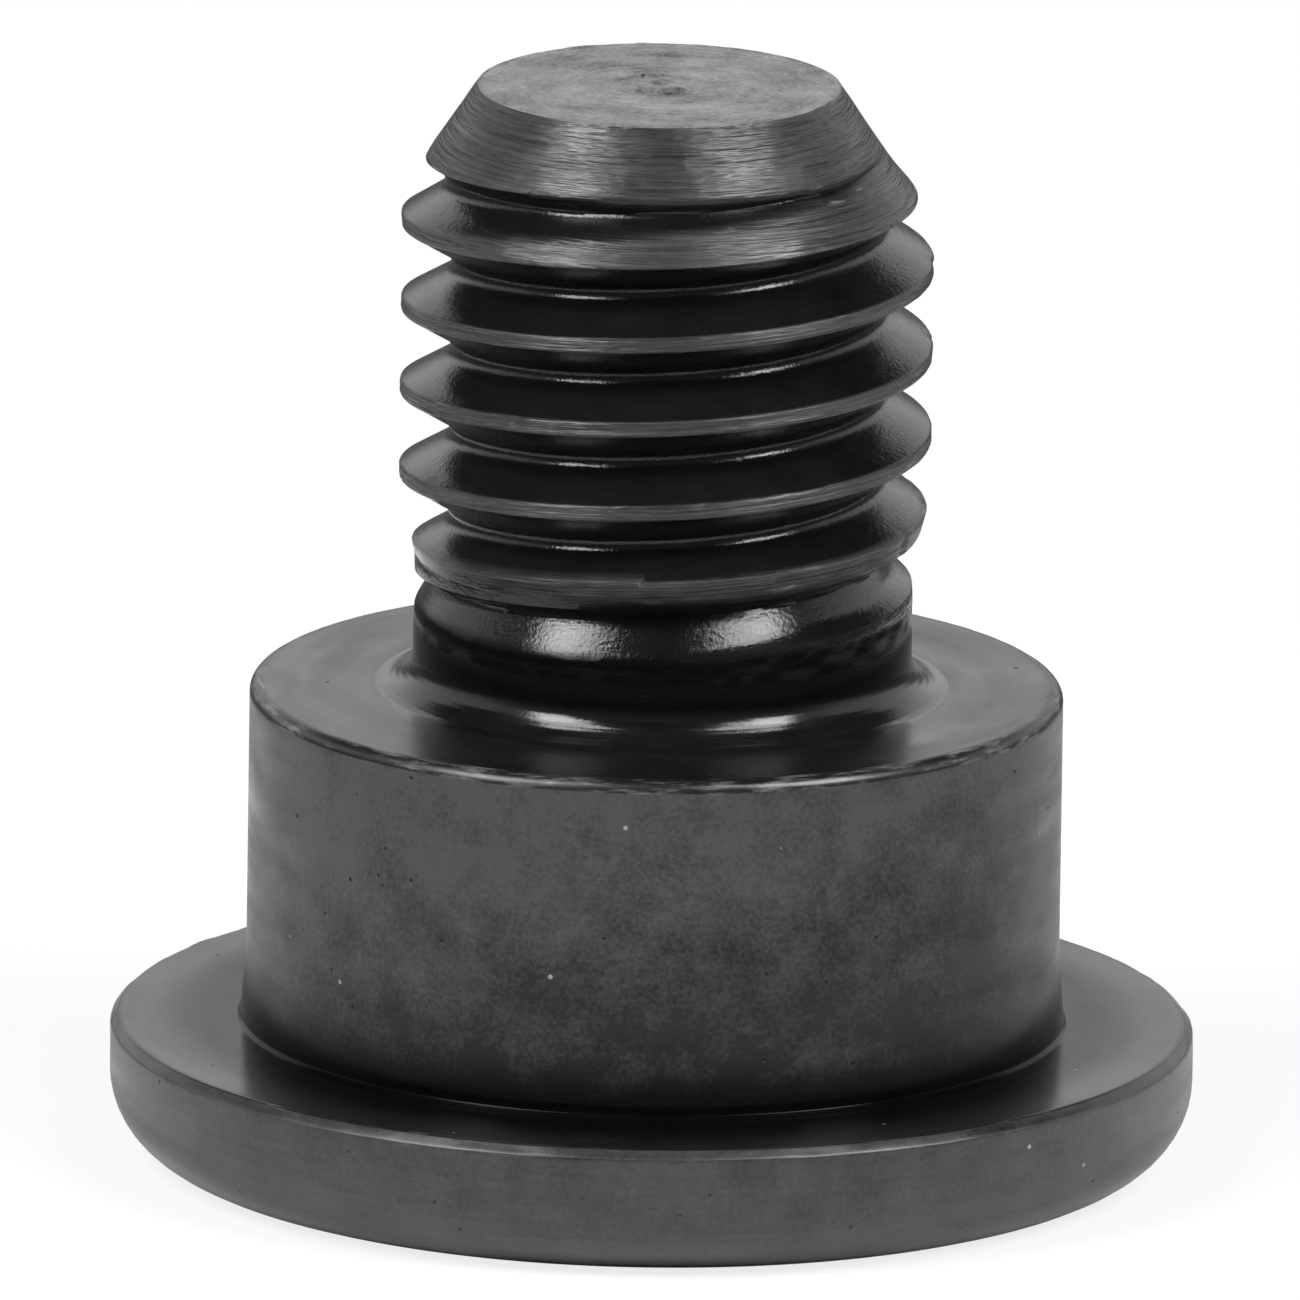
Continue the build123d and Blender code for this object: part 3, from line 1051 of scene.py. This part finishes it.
@dataclass
class Studio:
    """The pale floor, the white surround, the softboxes with a strip lamp under each, and the camera."""

    camera_elevation: float = 14.0
    camera_roll: float = 0.81
    camera_distance: float = 0.9
    view_width: float = 18.91
    centre_height: float = 7.503
    centre_side: float = -0.103
    surround_top: float = 31.0
    surround_blend: float = 5.0
    ceiling: float = 0.02
    front_level: float = 0.2
    low_level: float = 0.15
    wall_level: float = 1.08
    floor_radius: float = 0.036
    floor_solid: float = 0.84
    floor_glow: float = 0.8
    floor_gap: float = 0.01
    floor_colour: Colour = (0.82, 0.82, 0.82)
    softboxes: Tuple[Softbox, ...] = (
        Softbox("softbox_left", -53.0, 48.0, 0.26, 0.12, 0.11, 0.5),
        Softbox("softbox_right", 52.0, 47.0, 0.26, 0.13, 0.1, 0.48),
        Softbox("strip_left", -54.0, 31.0, 0.26, 0.08, 0.07, 0.3),
        Softbox("strip_right", 55.0, 31.0, 0.26, 0.08, 0.07, 0.3),
    )

    def build(self) -> None:
        """Make everything and point the camera."""
        low = cad_bounds[0]
        target = Vector((0.0, 0.0, low[2] + self.centre_height * MM))
        self._floor(low[2] - self.floor_gap * MM)
        self._surround()
        for softbox in self.softboxes:
            softbox.hang(target)
        self._camera(target)
        bpy.context.scene.view_settings.view_transform = "Standard"

    def _floor(self, height: float) -> None:
        """A pale disc at a height in metres, nearly white to the camera, that keeps the bolt's soft shadow."""
        angle = np.linspace(0.0, TAU, 96, endpoint=False)
        ring = np.stack((np.cos(angle), np.sin(angle), np.zeros(96)), axis=-1) * self.floor_radius
        ring[:, 2] = height
        mesh = bpy.data.meshes.new("floor")
        mesh.from_pydata(ring.tolist(), [], [list(range(96))])
        floor = bpy.data.objects.new("floor", mesh)
        bpy.context.scene.collection.objects.link(floor)
        material = bpy.data.materials.new("studio_floor")
        material.use_nodes = True
        tree = material.node_tree
        tree.nodes.clear()
        sheet = NodeSheet(tree)
        path = sheet.add("ShaderNodeLightPath")
        paper = sheet.add("ShaderNodeBsdfDiffuse", {"Color": (*self.floor_colour, 1.0)})
        glow = sheet.add("ShaderNodeEmission", {"Color": (1.0, 1.0, 1.0, 1.0), "Strength": 1.0})
        share = sheet.math("MULTIPLY", path.outputs["Is Camera Ray"], self.floor_glow)
        mix = sheet.add("ShaderNodeMixShader", {0: share, 1: paper.outputs[0], 2: glow.outputs[0]})
        place = sheet.add("ShaderNodeTexCoord").outputs["Object"]
        away = sheet.add("ShaderNodeVectorMath", {0: place}, operation="LENGTH").outputs["Value"]
        rim = sheet.smooth(away, self.floor_radius * self.floor_solid, self.floor_radius)
        clear = sheet.add("ShaderNodeBsdfTransparent")
        whole = sheet.add("ShaderNodeMixShader", {0: rim, 1: mix.outputs[0], 2: clear.outputs[0]})
        sheet.add("ShaderNodeOutputMaterial", {"Surface": whole.outputs[0]})
        mesh.materials.append(material)

    def _surround(self) -> None:
        """White walls behind and dim ones in front, up to a height angle, under a dark ceiling, blended softly."""
        world = bpy.data.worlds.new("studio")
        world.use_nodes = True
        bpy.context.scene.world = world
        tree = world.node_tree
        tree.nodes.clear()
        sheet = NodeSheet(tree)
        path = sheet.add("ShaderNodeLightPath")
        direction = sheet.add("ShaderNodeTexCoord").outputs["Generated"]
        axes = sheet.add("ShaderNodeSeparateXYZ", {0: direction}).outputs
        rise = axes["Z"]
        low = math.sin(math.radians(self.surround_top - self.surround_blend / 2))
        high = math.sin(math.radians(self.surround_top + self.surround_blend / 2))
        behind = sheet.smooth(axes["Y"], -0.45, 0.05)
        walls = sheet.math("MULTIPLY_ADD", behind, self.wall_level - self.front_level, self.front_level)
        foot = sheet.smooth(rise, 0.02, 0.16)
        walls = sheet.add("ShaderNodeMix", {0: foot, 2: self.low_level, 3: walls}).outputs[0]
        dark = sheet.smooth(rise, low, high)
        level = sheet.add("ShaderNodeMix", {0: dark, 2: walls, 3: self.ceiling}).outputs[0]
        level = sheet.math("MAXIMUM", level, path.outputs["Is Camera Ray"])
        back = sheet.add("ShaderNodeBackground", {"Color": (1.0, 1.0, 1.0, 1.0), "Strength": level})
        sheet.add("ShaderNodeOutputWorld", {"Surface": back.outputs[0]})

    def _camera(self, target: Vector) -> None:
        """A long lens from the front, a little above the bolt, with the target in the middle of its view."""
        data = bpy.data.cameras.new("camera")
        data.sensor_width = 36.0
        data.lens = 36.0 * self.camera_distance / (self.view_width * MM)
        data.clip_start, data.clip_end = 0.01, 20.0
        camera = bpy.data.objects.new("camera", data)
        e = math.radians(self.camera_elevation)
        away = Vector((0.0, -math.cos(e), math.sin(e)))
        side = Vector((self.centre_side * MM, 0.0, 0.0))
        turn = away.to_track_quat("Z", "Y").to_matrix() @ Matrix.Rotation(math.radians(self.camera_roll), 3, "Z")
        camera.matrix_world = Matrix.Translation(target + side + away * self.camera_distance) @ turn.to_4x4()
        bpy.context.scene.collection.objects.link(camera)
        bpy.context.scene.camera = camera


def main() -> None:
    """Build the bolt's skin, dress it and set up the studio."""
    logging.basicConfig(level=logging.INFO, format="%(name)s: %(message)s")
    bolt = BoltSurface().build()
    effects = Effects()
    for face in Face:
        bolt.data.materials.append(FINISHES[face].dress(effects, OVER.get(face, {})))
    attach(bolt, "root")
    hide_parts(NODE)
    log.info("bolt skin dressed with %d finishes", len(FINISHES))
    Studio().build()
    log.info("studio built")


if __name__ == "__main__":
    main()
